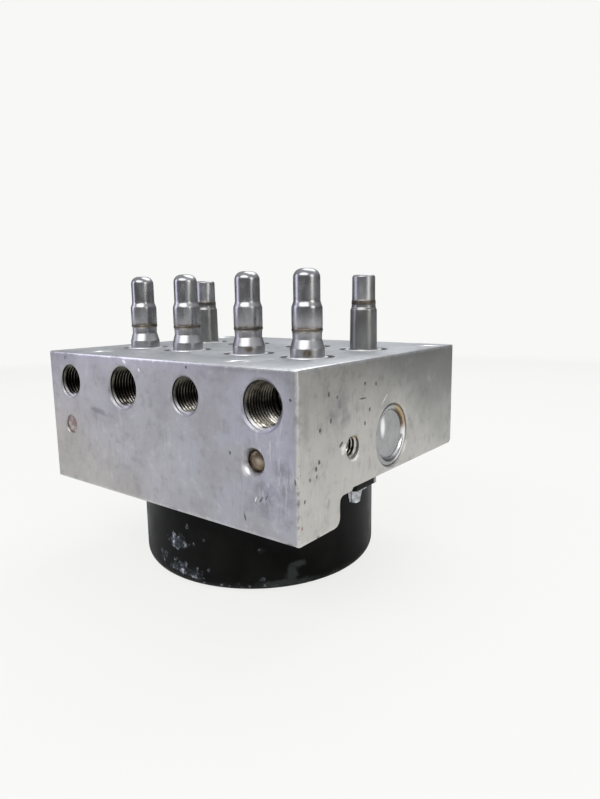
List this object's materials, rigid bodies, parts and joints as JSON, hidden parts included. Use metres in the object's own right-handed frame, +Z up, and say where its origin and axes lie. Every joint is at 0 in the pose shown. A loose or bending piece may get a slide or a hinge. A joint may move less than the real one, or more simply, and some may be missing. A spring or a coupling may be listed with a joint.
{
  "type": "abs hydraulic unit",
  "caption": "Aluminium valve block with solenoid valve domes on top, threaded brake line ports and a black pump motor below; it modulates brake pressure.",
  "frame": {"origin": "centre of the motor can base, on the motor axis", "axes": "+X along the row of line ports with the M6 bracket hole and pump cap that show on the +X side, +Y from the front port face to the back, +Z up from the motor to the valve domes"},
  "size_m": [0.1, 0.0827, 0.0894],
  "materials": {
    "machined_aluminium": "fine milled, satin, lightly stained",
    "stainless_tube": "drawn stainless, bright satin",
    "turned_steel": "turned, satin",
    "plug_steel": "pressed and caulked, satin",
    "ball_steel": "rust-stained",
    "black_paint": "satin black paint",
    "zinc_screw": "zinc plated",
    "spring_steel": "drawn",
    "bearing_steel": "ground",
    "bronze": "sintered",
    "magnet": "sintered ferrite",
    "lamination": "stacked sheet",
    "copper": "enamelled",
    "dark_plastic": "moulded, matt",
    "carbon": "pressed carbon",
    "seal_rubber": "matt"
  },
  "bodies": {
    "block": {"accumulator_cap_left": "plug_steel", "accumulator_cap_right": "plug_steel", "accumulator_spring_left": "spring_steel", "accumulator_spring_right": "spring_steel", "ball_plugs": "ball_steel", "brush_plate": "dark_plastic", "brushes": "carbon", "end_bush": "bronze", "field_magnets": "magnet", "front_bearing_outer": "bearing_steel", "inlet_body_1": "turned_steel", "inlet_body_2": "turned_steel", "inlet_body_3": "turned_steel", "inlet_body_4": "turned_steel", "inlet_dome_1": "stainless_tube", "inlet_dome_2": "stainless_tube", "inlet_dome_3": "stainless_tube", "inlet_dome_4": "stainless_tube", "inlet_springs": "spring_steel", "motor_can": "black_paint", "motor_end_plate": "turned_steel", "motor_screws": "zinc_screw", "outlet_body_1": "turned_steel", "outlet_body_2": "turned_steel", "outlet_body_3": "turned_steel", "outlet_body_4": "turned_steel", "outlet_cap_1": "stainless_tube", "outlet_cap_2": "stainless_tube", "outlet_cap_3": "stainless_tube", "outlet_cap_4": "stainless_tube", "outlet_springs": "spring_steel", "pump_cap_left": "plug_steel", "pump_cap_right": "plug_steel", "pump_sleeve_left": "turned_steel", "pump_sleeve_right": "turned_steel", "pump_spring_left": "spring_steel", "pump_spring_right": "spring_steel", "rear_bush": "bronze", "terminals": "copper", "valve_block": "machined_aluminium"},
    "rotor": {"motor_shaft": "bearing_steel", "eccentric_ring": "bearing_steel", "rotor_core": "lamination", "rotor_winding": "copper", "commutator": "copper", "front_bearing_inner": "bearing_steel"},
    "inlet_plunger_1": {"inlet_armature_1": "turned_steel"},
    "outlet_plunger_1": {"outlet_armature_1": "turned_steel"},
    "inlet_plunger_2": {"inlet_armature_2": "turned_steel"},
    "outlet_plunger_2": {"outlet_armature_2": "turned_steel"},
    "inlet_plunger_3": {"inlet_armature_3": "turned_steel"},
    "outlet_plunger_3": {"outlet_armature_3": "turned_steel"},
    "inlet_plunger_4": {"inlet_armature_4": "turned_steel"},
    "outlet_plunger_4": {"outlet_armature_4": "turned_steel"},
    "pump_plunger_left": {"pump_piston_left": "bearing_steel"},
    "accumulator_plunger_left": {"accumulator_piston_left": "machined_aluminium", "accumulator_seal_left": "seal_rubber"},
    "pump_plunger_right": {"pump_piston_right": "bearing_steel"},
    "accumulator_plunger_right": {"accumulator_piston_right": "machined_aluminium", "accumulator_seal_right": "seal_rubber"}
  },
  "joints": [
    {"name": "rotor_spin", "type": "hinge", "parent": "block", "child": "rotor", "pos_m": [0, 0, 0.02], "axis": [0, 0, 1], "continuous": true},
    {"name": "inlet_valve_1", "type": "slide", "parent": "block", "child": "inlet_plunger_1", "axis": [0, 0, -1], "range_m": [0, 0.0004], "stiffness_N_per_m": 1000, "springref_m": -0.001, "deforming": ["inlet_springs"]},
    {"name": "inlet_valve_2", "type": "slide", "parent": "block", "child": "inlet_plunger_2", "axis": [0, 0, -1], "range_m": [0, 0.0004], "stiffness_N_per_m": 1000, "springref_m": -0.001, "deforming": ["inlet_springs"]},
    {"name": "inlet_valve_3", "type": "slide", "parent": "block", "child": "inlet_plunger_3", "axis": [0, 0, -1], "range_m": [0, 0.0004], "stiffness_N_per_m": 1000, "springref_m": -0.001, "deforming": ["inlet_springs"]},
    {"name": "inlet_valve_4", "type": "slide", "parent": "block", "child": "inlet_plunger_4", "axis": [0, 0, -1], "range_m": [0, 0.0004], "stiffness_N_per_m": 1000, "springref_m": -0.001, "deforming": ["inlet_springs"]},
    {"name": "outlet_valve_1", "type": "slide", "parent": "block", "child": "outlet_plunger_1", "axis": [0, 0, 1], "range_m": [0, 0.0004], "stiffness_N_per_m": 1000, "springref_m": -0.001, "deforming": ["outlet_springs"]},
    {"name": "outlet_valve_2", "type": "slide", "parent": "block", "child": "outlet_plunger_2", "axis": [0, 0, 1], "range_m": [0, 0.0004], "stiffness_N_per_m": 1000, "springref_m": -0.001, "deforming": ["outlet_springs"]},
    {"name": "outlet_valve_3", "type": "slide", "parent": "block", "child": "outlet_plunger_3", "axis": [0, 0, 1], "range_m": [0, 0.0004], "stiffness_N_per_m": 1000, "springref_m": -0.001, "deforming": ["outlet_springs"]},
    {"name": "outlet_valve_4", "type": "slide", "parent": "block", "child": "outlet_plunger_4", "axis": [0, 0, 1], "range_m": [0, 0.0004], "stiffness_N_per_m": 1000, "springref_m": -0.001, "deforming": ["outlet_springs"]},
    {"name": "pump_stroke_left", "type": "slide", "parent": "block", "child": "pump_plunger_left", "axis": [-1, 0, 0], "range_m": [0, 0.0022], "stiffness_N_per_m": 1500, "springref_m": -0.002, "deforming": ["pump_spring_left"]},
    {"name": "pump_stroke_right", "type": "slide", "parent": "block", "child": "pump_plunger_right", "axis": [1, 0, 0], "range_m": [0, 0.0022], "stiffness_N_per_m": 1500, "springref_m": -0.002, "deforming": ["pump_spring_right"]},
    {"name": "accumulator_stroke_left", "type": "slide", "parent": "block", "child": "accumulator_plunger_left", "axis": [0, 1, 0], "range_m": [0, 0.006], "stiffness_N_per_m": 1000, "springref_m": -0.004, "deforming": ["accumulator_spring_left"]},
    {"name": "accumulator_stroke_right", "type": "slide", "parent": "block", "child": "accumulator_plunger_right", "axis": [0, 1, 0], "range_m": [0, 0.006], "stiffness_N_per_m": 1000, "springref_m": -0.004, "deforming": ["accumulator_spring_right"]}
  ]
}
